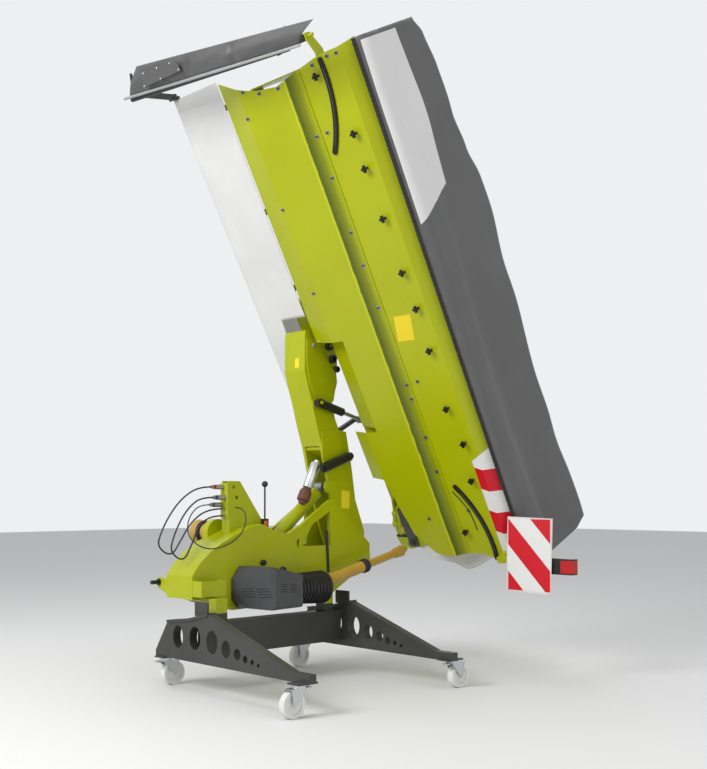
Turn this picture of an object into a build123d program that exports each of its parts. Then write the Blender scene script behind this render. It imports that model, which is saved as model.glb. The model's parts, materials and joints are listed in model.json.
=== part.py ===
from build123d import *
from math import cos, sin, tan, radians, degrees, atan2, hypot
import os

os.makedirs("parts", exist_ok=True)

# Place of the stand's centre seen from the middle of the whole object's footprint.
plan_x = 584.755
plan_y = -96.885

# Folding geometry of the machine, all heights above the floor.
lean = 28.5
deck_x = 450
deck_z = 2385
lift_x = 950
lift_z = 800
knuckle_s = -120
knuckle_t = -220
lift_pin_d = 60
knuckle_pin_d = 50
running = 0.1
# middle of the lifting gear, seen across the direction of travel
lane = 610

along = Vector(-sin(radians(lean)), 0, cos(radians(lean)))
above = Vector(-cos(radians(lean)), 0, -sin(radians(lean)))
knuckle_x = deck_x + knuckle_s * along.X + knuckle_t * above.X
knuckle_z = deck_z + knuckle_s * along.Z + knuckle_t * above.Z
print("knuckle", round(knuckle_x, 2), round(knuckle_z, 2))


def level(z):
    return Plane(origin=(-plan_x, -plan_y, z))


def facing(y):
    return Plane(origin=(-plan_x, y - plan_y, 0), x_dir=(1, 0, 0), z_dir=(0, -1, 0))


def side(x):
    return Plane(origin=(x - plan_x, -plan_y, 0), x_dir=(0, 1, 0), z_dir=(1, 0, 0))


def deck_point(s, y, t):
    x = deck_x + s * along.X + t * above.X
    z = deck_z + s * along.Z + t * above.Z
    return Vector(x - plan_x, y - plan_y, z)


def station(s):
    return Plane(origin=deck_point(s, 0, 0), x_dir=(0, 1, 0), z_dir=along)


def face_at(y):
    return Plane(origin=deck_point(0, y, 0), x_dir=along, z_dir=(0, -1, 0))


def deck(t):
    return Plane(origin=deck_point(0, 0, t), x_dir=along, z_dir=above)


def outline(points):
    Polygon(*points, align=None)


def slab(plane, points, thickness, mode=Mode.ADD):
    with BuildSketch(plane) as drawn:
        outline(points)
    extrude(drawn.sketch, amount=thickness, mode=mode)


def rod(plane, point, diameter, length, mode=Mode.ADD):
    with BuildSketch(plane) as drawn:
        with Locations(point):
            Circle(diameter / 2)
    extrude(drawn.sketch, amount=length, mode=mode)


def block(plane, low, high, thickness, mode=Mode.ADD):
    with BuildSketch(plane) as drawn:
        with Locations(((low[0] + high[0]) / 2, (low[1] + high[1]) / 2)):
            Rectangle(high[0] - low[0], high[1] - low[1])
    extrude(drawn.sketch, amount=thickness, mode=mode)


def sheet_line(points, thickness):
    return points + [(y, t - thickness) for y, t in reversed(points)]


def bar(start, end, diameter, mode=Mode.ADD):
    run = Vector(*end) - Vector(*start)
    with BuildSketch(Plane(origin=Vector(*start), z_dir=run)) as drawn:
        Circle(diameter / 2)
    extrude(drawn.sketch, amount=run.length, mode=mode)


def site(x, y, z):
    return (x - plan_x, y - plan_y, z)


def keep(part, name):
    part.part.label = name
    export_step(part.part, f"parts/{name}.step")


# Display stand: two holed side legs joined by one cross beam.
leg_gauge = 620
leg_width = 60
leg_shape = [(-760, 188), (-760, 243), (-615, 243), (190, 512), (410, 462),
             (630, 440), (770, 235), (770, 196), (585, 196)]
# along the leg, height, hole width, hole height
leg_holes = [(515, 345, 110, 147), (330, 350, 116, 149), (150, 342, 116, 147),
             (6, 312, 87, 108), (-107, 293, 68, 68), (-185, 271, 45, 47),
             (-252, 260, 32, 32), (-310, 248, 24, 24)]
# name, swivel x, swivel y, way the wheel trails
foot_out = leg_gauge - leg_width / 2 - 70
# left edge, right edge, top of the foot under the headstock
feet = [(-foot_out + 10, -foot_out + 100, 592), (foot_out - 80, foot_out, 560)]
foot_near = 290
casters = [("1", -615, 705, 1), ("2", 617, 700, -1), ("3", -670, -705, -1), ("4", 668, -700, 1)]
wheel_d = 160
wheel_w = 46
trail = 55
caster_plate = 188
kingpin_d = 20
axle_d = 12

for side_name, sign in [("left", -1), ("right", 1)]:
    with BuildPart() as leg:
        slab(side(sign * leg_gauge - leg_width / 2), leg_shape, leg_width)
        for along_leg, height, wide, high in leg_holes:
            with BuildSketch(side(sign * leg_gauge - leg_width / 2)):
                with Locations((along_leg, height)):
                    Ellipse(wide / 2, high / 2)
            extrude(amount=leg_width, mode=Mode.SUBTRACT)
        slab(side(sign * leg_gauge - leg_width / 2 - 8),
             [(190, 500), (410, 450), (630, 428), (640, 444), (410, 470), (190, 520)],
             leg_width + 16)
        block(side(sign * leg_gauge - 6), (228, 490), (364, 582), 12)
        for name, x, y, way in casters:
            if x * sign > 0:
                block(level(caster_plate), (min(x, sign * leg_gauge) - 50, y - 50),
                      (max(x, sign * leg_gauge) + 50, y + 50), 10)
                rod(level(caster_plate), (x, y), kingpin_d, -18)
    keep(leg, f"stand_leg_{side_name}")

with BuildPart() as stand_beam:
    block(facing(380), (-leg_gauge + leg_width / 2, 230), (leg_gauge - leg_width / 2, 448), 100)
    block(facing(372), (-leg_gauge + leg_width / 2, 238), (leg_gauge - leg_width / 2, 440), 84,
          mode=Mode.SUBTRACT)
    for left, right, top in feet:
        block(facing(380), (left, 448), (right, 500), 380 - foot_near)
keep(stand_beam, "stand_beam")

for name, x, y, way in casters:
    hub = x + way * trail
    with BuildPart() as caster_fork:
        with BuildSketch(level(caster_plate - 18)):
            with Locations((x, y)):
                Circle(40)
                Circle(kingpin_d / 2 + running / 2, mode=Mode.SUBTRACT)
        extrude(amount=16)
        block(level(caster_plate - 22), (min(x, hub) - 42, y - 34), (max(x, hub) + 42, y + 34), 4)
        for inner in [-34, 29]:
            with BuildSketch(facing(y + inner + 5)):
                outline([(x - way * 36, 166), (hub - way * 16, 80), (hub, 64), (hub + way * 16, 80),
                         (hub + way * 30, 166)])
            extrude(amount=5)
        rod(facing(y + 34), (hub, wheel_d / 2), axle_d, 68)
        block(facing(y + 20), (min(x - way * 78, x - way * 36), 160),
              (max(x - way * 78, x - way * 36), 170), 40)
    keep(caster_fork, f"caster_fork_{name}")
    with BuildPart() as caster_wheel:
        with BuildSketch(facing(y + wheel_w / 2)):
            with Locations((hub, wheel_d / 2)):
                Circle(wheel_d / 2)
                Circle(axle_d / 2 + running / 2, mode=Mode.SUBTRACT)
        extrude(amount=wheel_w)
        for start in [y + wheel_w / 2, y - wheel_w / 2 + 8]:
            with BuildSketch(facing(start)):
                with Locations((hub, wheel_d / 2)):
                    Circle(58)
                    Circle(24, mode=Mode.SUBTRACT)
            extrude(amount=8, mode=Mode.SUBTRACT)
    keep(caster_wheel, f"caster_wheel_{name}")

# Headstock: two cheeks of heavy plate, a curved cover between them and a narrow top-link tower.
cheek = 30
cheek_rear = lane - 140
cheek_front = lane + 150
ram_x = 100
ram_z = 830
ram_pin_d = 40
crown = [(-570, 735), (-507, 815), (-426, 885), (-327, 945), (-217, 993), (-106, 1038), (18, 1066)]
cheek_shape = crown + [(135, 1018), (254, 995), (367, 1045), (541, 1158), (655, 1230), (700, 1240),
                       (1070, 900), (1070, 760), (905, 675), (620, 515), (-243, 490), (-475, 574),
                       (-570, 580)]
cheek_cuts = [[(390, 900), (660, 900), (660, 1150), (480, 1050)], [(330, 940), (365, 960), (350, 880)]]
tower_shape = [(-187, 1363), (-92, 1363), (104, 1091), (190, 1010), (190, 990), (90, 905), (-187, 905)]
tower_plate = 12
tower_gap = 56
tower_rear = lane + 5 - tower_gap / 2
top_link_d = 25.6
top_holes = [(-146, 1322), (-120, 1250)]
hitch_z = 677
hitch_y = cheek_front + 89
hitch_d = 28
lugs = [-570, 235]
lug_shape = [(cheek_front, 600), (cheek_front, 700), (hitch_y, 712), (hitch_y + 42, 690),
             (hitch_y + 42, 660), (hitch_y, 636)]
input_x = -160
input_z = 1005

with BuildPart() as headstock:
    for plane in [facing(cheek_rear + cheek), facing(cheek_front)]:
        slab(plane, cheek_shape, cheek)
        for cut in cheek_cuts:
            slab(plane, cut, cheek, mode=Mode.SUBTRACT)
        rod(plane, (lift_x, lift_z), 250, cheek)
    between = cheek_front - cheek_rear - 2 * cheek
    inner_face = facing(cheek_front - cheek)
    slab(inner_face, crown + [(x + 8, z - 26) for x, z in reversed(crown)], between)
    slab(inner_face, [(-243, 490), (620, 515), (620, 535), (-243, 510)], between)
    slab(inner_face, [(-475, 574), (-243, 490), (-243, 512), (-470, 594)], between)
    slab(inner_face, [(-570, 580), (-570, 735), (-550, 735), (-550, 580)], between)
    slab(inner_face, [(600, 515), (620, 515), (800, 618), (790, 634)], between)
    slab(inner_face, [(-400, 540), (-20, 500), (-20, 760), (-400, 760)], between)
    for start in [tower_rear, tower_rear + tower_gap + tower_plate]:
        slab(facing(start), tower_shape, tower_plate)
    block(facing(tower_rear + tower_gap), (-187, 905), (-167, 1150), tower_gap)
    rod(facing(cheek_front + 14), (lift_x, lift_z), lift_pin_d, cheek_front - cheek_rear + 28)
    rod(facing(cheek_front + 6), (ram_x, ram_z), ram_pin_d, cheek_front - cheek_rear + 12)
    for hole in top_holes:
        rod(facing(tower_rear + tower_gap + tower_plate), hole, top_link_d, tower_gap + 2 * tower_plate,
            mode=Mode.SUBTRACT)
    rod(facing(cheek_front + 30), (input_x, input_z), 190, 30 + cheek)
    for left, right, top in feet:
        block(facing(cheek_rear), (left, 500), (right, top), cheek_rear - foot_near)
    for x in lugs:
        slab(side(x), lug_shape, 20)
keep(headstock, "headstock")

# Category II lower hitch points, both pins pointing outward along the axle line.
with BuildPart() as hitch_pins:
    for start, collar in [(lugs[0] - 64, lugs[0] - 8), (lugs[1] + 20, lugs[1] + 20)]:
        rod(side(start), (hitch_y, hitch_z), hitch_d, 64)
        rod(side(collar), (hitch_y, hitch_z), 46, 8)
keep(hitch_pins, "hitch_pins")

# Drive hung behind the headstock: hood, bell, tractor-side stub.
swing_x = 320
swing_z = 620
swing_pin_d = 22
cover_end = 157
cover_near = cheek_rear - 270
shaft_y = cover_near + 100
with BuildPart() as drive_cover:
    slab(facing(cheek_rear), [(-250, 560), (-250, 700), (-185, 785), (-92, 785), (cover_end, 722),
                              (cover_end, 503), (-100, 495), (-205, 508)], cheek_rear - cover_near)
    slab(level(480), [(-250, cheek_rear), (-250, cheek_rear - 40), (-118, cover_near + 16),
                      (-84, cover_near), (cover_end, cover_near), (cover_end, cheek_rear)], 320,
         mode=Mode.INTERSECT)
    slab(side(-260), [(cover_near, 518), (cover_near + 20, 492), (cheek_rear, 488), (cheek_rear, 790),
                      (cover_near + 26, 786), (cover_near, 764)], 430, mode=Mode.INTERSECT)
keep(drive_cover, "drive_cover")

bell_end = 430
with BuildPart() as drive_bell:
    with BuildSketch(side(cover_end)):
        with Locations((shaft_y, swing_z)):
            Circle(96)
    with BuildSketch(side(bell_end)):
        with Locations((shaft_y, swing_z)):
            Circle(112)
    loft()
    for rib in range(9):
        with BuildSketch(side(cover_end + 12 + rib * 29)):
            with Locations((shaft_y, swing_z)):
                Circle(105 + 1.4 * rib)
        extrude(amount=12)
    with BuildSketch(side(cover_end + 20)):
        with Locations((shaft_y, swing_z)):
            Circle(86)
    with BuildSketch(side(bell_end)):
        with Locations((shaft_y, swing_z)):
            Circle(105)
    loft(mode=Mode.SUBTRACT)
    rod(side(cover_end + 20), (shaft_y, swing_z), 36, 100)
    for start in [shaft_y - 30, shaft_y + 42]:
        with BuildSketch(facing(start)):
            with Locations((swing_x - 24, swing_z)):
                Rectangle(70, 44)
            with Locations((swing_x, swing_z)):
                Circle(24)
        extrude(amount=12)
    block(side(265), (shaft_y - 42, swing_z - 22), (shaft_y + 42, swing_z + 22), 16)
    rod(facing(shaft_y + 42), (swing_x, swing_z), swing_pin_d, 84)
keep(drive_bell, "drive_bell")

# Stub for the tractor's drive shaft, inside its own guard cone.
cone_end = cheek_front + 190
with BuildPart() as input_shaft:
    rod(facing(cone_end - 90), (input_x, input_z), 84, cone_end - 90 - cheek_front - 30)
    with BuildSketch(facing(cone_end - 110)):
        with Locations((input_x, input_z)):
            Circle(58)
    with BuildSketch(facing(cone_end)):
        with Locations((input_x, input_z)):
            Circle(88)
    loft()
    with BuildSketch(facing(cone_end - 88)):
        with Locations((input_x, input_z)):
            Circle(50)
    with BuildSketch(facing(cone_end)):
        with Locations((input_x, input_z)):
            Circle(80)
    loft(mode=Mode.SUBTRACT)
    rod(facing(cone_end + 60), (input_x, input_z), 35, 150)
keep(input_shaft, "input_shaft")

# Small fittings of the headstock.
panel_left = -199
with BuildPart() as coupler_panel:
    block(facing(lane + 45), (panel_left, 1105), (-187, 1350), 80)
keep(coupler_panel, "coupler_panel")

# across, height of each coupler
coupler_seats = [(lane + 16, 1322), (lane - 5, 1250), (lane + 30, 1200), (lane + 2, 1172),
                 (lane - 5, 1125)]
with BuildPart() as couplers:
    for across, height in coupler_seats[:3]:
        rod(side(panel_left - 68), (across, height), 34, 68)
        rod(side(panel_left - 101), (across, height), 24, 33)
    for across, height in coupler_seats[3:]:
        rod(side(panel_left - 20), (across, height), 22, 20)
keep(couplers, "couplers")

with BuildPart() as lever:
    block(facing(tower_rear - tower_plate), (95, 985), (143, 1100), 26)
    bar(site(119, tower_rear - tower_plate - 13, 1098), site(119, tower_rear - tower_plate - 13, 1334),
        12)
    with Locations(site(119, tower_rear - tower_plate - 13, 1344)):
        Sphere(22)
keep(lever, "lever")

with BuildPart() as holder_box:
    block(facing(cheek_rear), (-568, 600), (-368, 705), 100)
    block(facing(cheek_rear - 8), (-560, 608), (-376, 725), 84, mode=Mode.SUBTRACT)
keep(holder_box, "holder_box")

# Boom: two shaped plates, boxed above the lift ram, forked at both ends.
boom_rear = lane - 110
boom_front = lane + 110
boom_plate = 28
ram_eye_x = 700
ram_eye_z = 1330
ram_eye_d = 36
tilt_x = 540
tilt_z = 1935
tilt_pin_d = 25
boom_left = [(1112, 735), (1290, 688), (1422, 657), (1626, 607), (1770, 558), (1942, 509), (2055, 470),
             (2168, 438), (knuckle_z + 15, knuckle_x - 260), (knuckle_z + 71, knuckle_x - 255)]
boom_shape = [(x, z) for z, x in boom_left] + [
    (knuckle_x - 61, knuckle_z + 116), (knuckle_x + 57, knuckle_z - 84), (758, 2210), (714, 2085), (705, 1960), (735, 1840), (772, 1752), (850, 1738),
    (878, 1610), (905, 1491), (948, 1230), (1040, 1000), (1040, 800), (950, 700), (855, 800)]
with BuildPart() as boom:
    for plane in [facing(boom_rear + boom_plate), facing(boom_front)]:
        slab(plane, boom_shape, boom_plate)
        rod(plane, (knuckle_x, knuckle_z), 250, boom_plate)
        rod(plane, (lift_x, lift_z), 210, boom_plate)
        rod(plane, (lift_x, lift_z), lift_pin_d + running, boom_plate, mode=Mode.SUBTRACT)
        rod(plane, (ram_eye_x, ram_eye_z), 110, boom_plate)
    inner = boom_front - boom_rear - 2 * boom_plate
    face = facing(boom_front - boom_plate)
    slab(face, [(x, z) for z, x in boom_left[3:]] + [(x + 24, z) for z, x in reversed(boom_left[3:])],
         inner)
    slab(face, [(850, 1738), (878, 1610), (905, 1491), (881, 1491), (852, 1610), (826, 1735)], inner)
    slab(face, [(625, 1600), (900, 1480), (900, 1504), (625, 1624)], inner)
    rod(facing(boom_front + 12), (knuckle_x, knuckle_z), knuckle_pin_d, boom_front - boom_rear + 24)
    rod(facing(boom_front + 10), (ram_eye_x, ram_eye_z), 90, 10)
    rod(facing(boom_rear), (ram_eye_x, ram_eye_z), 90, 10)
    rod(facing(boom_rear), (tilt_x, tilt_z), tilt_pin_d, 78)
    rod(facing(boom_rear), (tilt_x, tilt_z), 60, 8)
keep(boom, "boom")

with BuildPart() as accumulator:
    bar(site(580, boom_rear - 46, 1463), site(840, boom_rear - 46, 1554), 72)
    bar(site(561, boom_rear - 46, 1456), site(580, boom_rear - 46, 1463), 40)
    bar(site(840, boom_rear - 46, 1554), site(862, boom_rear - 46, 1562), 50)
    slab(facing(boom_rear), [(660, 1467), (710, 1485), (700, 1527), (650, 1507)], 30)
    slab(facing(boom_rear), [(750, 1498), (800, 1516), (790, 1556), (740, 1540)], 30)
keep(accumulator, "accumulator")

# Lift ram between headstock and boom.
ram_run = Vector(ram_eye_x - ram_x, 0, ram_eye_z - ram_z)
ram_length = ram_run.length
ram_rod_d = 45
print("ram", round(ram_length, 2), [round(v, 5) for v in ram_run.normalized()])
ram_base = Plane(origin=site(ram_x, lane, ram_z), z_dir=ram_run, x_dir=(0, 1, 0))
with BuildPart() as lift_barrel:
    with BuildSketch(Plane(origin=ram_base.origin + Vector(0, 40, 0), x_dir=ram_run, z_dir=(0, -1, 0))):
        Circle(44)
        Circle(ram_pin_d / 2 + running / 2, mode=Mode.SUBTRACT)
    extrude(amount=80)
    with BuildSketch(ram_base.offset(40)):
        Circle(46)
    extrude(amount=ram_length - 40 - 70)
    with BuildSketch(ram_base.offset(60)):
        Circle(36)
    extrude(amount=ram_length - 60 - 70 - 40, mode=Mode.SUBTRACT)
    with BuildSketch(ram_base.offset(ram_length - 70)):
        Circle(ram_rod_d / 2 + running / 2)
    extrude(amount=-60, mode=Mode.SUBTRACT)
    with BuildSketch(Plane(origin=ram_base.origin + Vector(0, 41, 0), x_dir=ram_run, z_dir=(0, -1, 0))):
        Circle(ram_pin_d / 2 + running / 2)
    extrude(amount=82, mode=Mode.SUBTRACT)
keep(lift_barrel, "lift_barrel")

with BuildPart() as lift_rod:
    with BuildSketch(Plane(origin=Vector(*site(ram_eye_x, lane + 38, ram_eye_z)), x_dir=ram_run,
                           z_dir=(0, -1, 0))):
        Circle(38)
    extrude(amount=76)
    with BuildSketch(ram_base.offset(75)):
        Circle(ram_rod_d / 2)
    extrude(amount=ram_length - 75 - 20)
    with BuildSketch(ram_base.offset(75)):
        Circle(35.5)
    extrude(amount=30)
    rod(facing(boom_front - boom_plate - 7), (ram_eye_x, ram_eye_z), ram_eye_d,
        boom_front - boom_rear - 2 * boom_plate - 14)
keep(lift_rod, "lift_rod")

# Tilt ram from the boom to the mower's front beam.
tilt_s = -727
tilt_t = -181
tilt_end = deck_point(tilt_s, 0, tilt_t)
tilt_run = Vector(tilt_end.X + plan_x - tilt_x, 0, tilt_end.Z - tilt_z)
tilt_length = tilt_run.length
tilt_mid = boom_rear - 45
tilt_rod_d = 28
print("tilt", round(tilt_length, 2), [round(v, 5) for v in tilt_run.normalized()])
tilt_base = Plane(origin=site(tilt_x, tilt_mid, tilt_z), z_dir=tilt_run, x_dir=(0, 1, 0))
with BuildPart() as tilt_barrel:
    with BuildSketch(Plane(origin=tilt_base.origin + Vector(0, 24, 0), x_dir=tilt_run, z_dir=(0, -1, 0))):
        Circle(28)
    extrude(amount=48)
    with BuildSketch(tilt_base.offset(20)):
        Circle(31)
    extrude(amount=215)
    with BuildSketch(tilt_base.offset(36)):
        Circle(24)
    extrude(amount=215 - 36 - 10, mode=Mode.SUBTRACT)
    with BuildSketch(tilt_base.offset(235)):
        Circle(tilt_rod_d / 2 + running / 2)
    extrude(amount=-80, mode=Mode.SUBTRACT)
    with BuildSketch(Plane(origin=tilt_base.origin + Vector(0, 25, 0), x_dir=tilt_run, z_dir=(0, -1, 0))):
        Circle(tilt_pin_d / 2 + running / 2)
    extrude(amount=50, mode=Mode.SUBTRACT)
keep(tilt_barrel, "tilt_barrel")

with BuildPart() as tilt_rod:
    with BuildSketch(Plane(origin=tilt_base.origin + tilt_run + Vector(0, 24, 0), x_dir=tilt_run,
                           z_dir=(0, -1, 0))):
        Circle(26)
    extrude(amount=48)
    with BuildSketch(tilt_base.offset(180)):
        Circle(tilt_rod_d / 2)
    extrude(amount=tilt_length - 180 - 12)
keep(tilt_rod, "tilt_rod")

# Drive shaft from the bell to the mower's gearbox, outer and inner guard tube.
yoke_s = -1740
yoke_t = 0
yoke = deck_point(yoke_s, shaft_y, yoke_t)
shaft_run = Vector(yoke.X + plan_x - swing_x, 0, yoke.Z - swing_z)
shaft_length = shaft_run.length
print("shaft", round(shaft_length, 2), [round(v, 5) for v in shaft_run.normalized()])
shaft_base = Plane(origin=site(swing_x, shaft_y, swing_z), z_dir=shaft_run, x_dir=(0, 1, 0))
with BuildPart() as pto_outer:
    with BuildSketch(Plane(origin=shaft_base.origin + Vector(0, 28, 0), x_dir=shaft_run,
                           z_dir=(0, -1, 0))):
        Circle(26)
    extrude(amount=56)
    with BuildSketch(shaft_base.offset(16)):
        Circle(24)
    extrude(amount=80)
    with BuildSketch(shaft_base.offset(90)):
        Circle(42)
    extrude(amount=460)
    with BuildSketch(shaft_base.offset(100)):
        Circle(30 + running / 2)
    extrude(amount=460, mode=Mode.SUBTRACT)
    with BuildSketch(shaft_base.offset(520)):
        Circle(48)
        Circle(30 + running / 2, mode=Mode.SUBTRACT)
    extrude(amount=30)
    with BuildSketch(Plane(origin=shaft_base.origin + Vector(0, 29, 0), x_dir=shaft_run,
                           z_dir=(0, -1, 0))):
        Circle(swing_pin_d / 2 + running / 2)
    extrude(amount=58, mode=Mode.SUBTRACT)
keep(pto_outer, "pto_outer")

with BuildPart() as pto_inner:
    with BuildSketch(shaft_base.offset(shaft_length - 540)):
        Circle(30)
    extrude(amount=424)
    with BuildSketch(shaft_base.offset(shaft_length - 118)):
        Circle(36)
    with BuildSketch(shaft_base.offset(shaft_length - 45)):
        Circle(44)
    loft()
    with BuildSketch(shaft_base.offset(shaft_length - 46)):
        Circle(24)
    extrude(amount=30)
    with Locations(yoke):
        Sphere(20)
keep(pto_inner, "pto_inner")

# Mower hood, two decks with a step between them, all in deck coordinates.
gauge = 6
front_s = 1810
hood_plan = [(1810, 470), (-50, 470), (-50, 395), (-1145, 395), (-1145, 250), (-1610, 140),
             (-1761, -16), (-1782, -114), (-1776, -418), (-1856, -639), (-1920, -740),
             (1750, -740), (1730, -665), (1730, -500), (1690, -250), (1668, -185), (1653, -100),
             (1680, 100), (1734, 270)]
with BuildPart() as hood_front:
    slab(station(-1920), sheet_line([(470, -60), (250, 0), (-185, 0), (-250, -40), (-300, -40)], gauge),
         3740)
    slab(station(-760), [(480, 20), (140, 20), (140, -80), (480, -80)], 710, mode=Mode.SUBTRACT)
    slab(station(-760), sheet_line([(395, -130), (152, -58), (140, 0)], gauge), 710)
    slab(deck(-140), hood_plan, 160, mode=Mode.INTERSECT)
keep(hood_front, "hood_front")

with BuildPart() as hood_rear:
    slab(station(-1920), sheet_line([(-240, -46), (-665, -46), (-740, -126)], gauge), 3700)
    slab(deck(-140), hood_plan, 160, mode=Mode.INTERSECT)
keep(hood_rear, "hood_rear")

# Frame of the mower.
beam_y = 280
beam_d = 120
beam_top = -140
plate_in = -1600
plate_out = 1690
plate_t = 10
with BuildPart() as front_beam:
    block(station(plate_in + plate_t), (beam_y, beam_top - beam_d), (beam_y + beam_d, beam_top),
          plate_out - plate_in - plate_t)
    block(station(plate_in + plate_t), (beam_y + 8, beam_top - beam_d + 8),
          (beam_y + beam_d - 8, beam_top - 8), plate_out - plate_in - plate_t, mode=Mode.SUBTRACT)
    rod(face_at(beam_y + beam_d + 24), (tilt_s, tilt_t), 60, 24)
keep(front_beam, "front_beam")

with BuildPart() as mower_hub:
    with BuildSketch(face_at(boom_front - boom_plate - 6)):
        with Locations((knuckle_s, knuckle_t)):
            Circle(72)
        outline([(knuckle_s, knuckle_t + 68), (knuckle_s, knuckle_t - 68), (250, -290), (250, -150)])
    extrude(amount=boom_front - boom_rear - 2 * boom_plate - 12)
    rod(face_at(boom_front), (knuckle_s, knuckle_t), knuckle_pin_d + running,
        boom_front - boom_rear, mode=Mode.SUBTRACT)
    slab(face_at(686), [(250, -290), (250, -150), (150, -150), (150, -290)], 286)
    slab(face_at(beam_y + beam_d + 20), [(100, -262), (100, -138), (320, -138), (320, -262)], 20)
keep(mower_hub, "mower_hub")

bar_y = 350
skid_t = -890
rotor_y = -250
rotor_t = -500
rotor_r = 290
rotor_shaft_d = 50
end_shape = [(400, -142), (400, -560), (450, -820), (250, -820), (60, -860), (-250, -840),
             (-640, -420), (-660, -52), (-250, -52), (180, -52), (230, -142)]
for name, s in [("inner", plate_in), ("outer", plate_out)]:
    with BuildPart() as end_plate:
        slab(station(s), end_shape, plate_t)
        rod(station(s - 16), (rotor_y, rotor_t), 110, plate_t + 32)
        rod(station(s - 16), (rotor_y, rotor_t), rotor_shaft_d + running, plate_t + 32,
            mode=Mode.SUBTRACT)
        if name == "outer":
            slab(face_at(-458), [(s + plate_t, -130), (s + plate_t, -62), (1750, -62), (1830, -24),
                                 (1872, -24), (1872, -66), (1760, -130)], 12)
            rod(face_at(-458), (1850, -45), 20, 52)
    keep(end_plate, f"end_plate_{name}")

disc_first = plate_in + 250
disc_pitch = (plate_out - plate_in - 490) / 7
spindle_d = 40
disc_t = -800
with BuildPart() as cutterbar:
    slab(station(plate_in), [(250, -820), (450, -820), (470, -836), (470, -856), (440, -866),
                             (250, -866)], plate_out - plate_in + plate_t)
    slab(station(plate_in + plate_t), [(262, -828), (446, -828), (458, -840), (458, -850), (438, -858),
                                       (262, -858)], plate_out - plate_in - plate_t, mode=Mode.SUBTRACT)
    for n in range(8):
        rod(deck(-820), (disc_first + n * disc_pitch, bar_y), 90, 16)
        rod(deck(-820), (disc_first + n * disc_pitch, bar_y), spindle_d, 66)
        s = disc_first + n * disc_pitch
        slab(station(s - 110), [(470, -850), (500, -846), (440, -880), (200, skid_t), (120, skid_t + 20),
                                (120, skid_t + 26), (250, -866), (440, -866)], 220)
keep(cutterbar, "cutterbar")

for n in range(8):
    with BuildPart() as disc:
        turn = 90 * (n % 2)
        with BuildSketch(deck(disc_t)):
            with Locations(Location((disc_first + n * disc_pitch, bar_y), turn)):
                Ellipse(165, 95)
                Circle(spindle_d / 2 + running / 2, mode=Mode.SUBTRACT)
        extrude(amount=14)
        with BuildSketch(deck(disc_t + 14)):
            with Locations((disc_first + n * disc_pitch, bar_y)):
                Circle(62)
                Circle(spindle_d / 2 + running / 2, mode=Mode.SUBTRACT)
        extrude(amount=26)
        with BuildSketch(deck(disc_t - 5)):
            with Locations(Location((disc_first + n * disc_pitch, bar_y), turn)):
                with Locations((182, 0), (-182, 0)):
                    Rectangle(86, 44)
        extrude(amount=5)
    keep(disc, f"disc_{n + 1}")

tine_rows = 4
tines_per_row = 15
with BuildPart() as conditioner_rotor:
    rod(station(plate_in + plate_t + 20), (rotor_y, rotor_t), 150, plate_out - plate_in - plate_t - 40)
    rod(station(plate_in + plate_t + 28), (rotor_y, rotor_t), 134, plate_out - plate_in - plate_t - 56,
        mode=Mode.SUBTRACT)
    for start in [plate_in - 6, plate_out - 46]:
        rod(station(start), (rotor_y, rotor_t), rotor_shaft_d, plate_t + 52)
    for row in range(tine_rows):
        for n in range(tines_per_row):
            s = plate_in + 120 + n * 210 + (row % 2) * 105
            if s < plate_out - 60:
                out = Vector(0, cos(radians(90 * row)), 0) + above * sin(radians(90 * row))
                with BuildSketch(Plane(deck_point(s, rotor_y, rotor_t), x_dir=out, z_dir=along)):
                    outline([(72, -16), (rotor_r, -60), (rotor_r, -30), (72, 20)])
                extrude(amount=12, both=True)
keep(conditioner_rotor, "conditioner_rotor")

with BuildPart() as swath_boards:
    for s, lean_in in [(plate_in + 60, 150), (plate_out - 60, -150)]:
        slab(deck(-480), [(s, -560), (s + 6, -560), (s + 6 + lean_in, -730), (s + lean_in, -730)], 350)
    block(station(plate_in + plate_t), (-660, -134), (-640, -114), plate_out - plate_in - plate_t)
keep(swath_boards, "swath_boards")

# Soft guards around the mower.
curtain_foot = [(-1856, -724), (-1120, -685), (30, -700), (490, -745), (780, -738), (1030, -646),
                (1470, -604), (1726, -536)]
with BuildPart() as rear_curtain:
    slab(station(-1910), [(-740, -100), (-744, -100), (-744, -132), (-846, -745), (-842, -745),
                          (-740, -132)], 3650)
    slab(face_at(-735), [(-1910, -90), (-1905, -234)] + curtain_foot + [(1740, -90)], 120,
         mode=Mode.INTERSECT)
keep(rear_curtain, "rear_curtain")

cloth_front = 975
with BuildPart() as front_cloth:
    slab(deck(-60), [(1830, 470), (1830, cloth_front), (-904, cloth_front), (-904, 742), (150, 742),
                     (150, 488), (-40, 488), (-40, 470)], -gauge)
    slab(station(-904), [(cloth_front - 2, -60), (cloth_front + 6, -60), (cloth_front + 26, -430),
                         (cloth_front + 20, -430)], 2734)
keep(front_cloth, "front_cloth")

tube_y = 950
tube_t = -86
with BuildPart() as front_frame:
    rod(station(-900), (tube_y, tube_t), 40, 2750)
    for s in [330, 900, 1640]:
        slab(station(s), [(beam_y + beam_d, -240), (beam_y + beam_d, -190), (tube_y - 10, -80),
                          (tube_y + 14, -96)], 40)
    slab(station(-900), [(beam_y + beam_d, -260), (beam_y + beam_d, -200), (430, -230), (430, -570),
                         (930, -570), (930, tube_t), (966, tube_t), (966, -606), (410, -606),
                         (400, -590)], 30)
    block(face_at(964), (1832, -92), (1870, -20), 14)
    rod(face_at(950), (1850, -45), 20, 44)
keep(front_frame, "front_frame")

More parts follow.
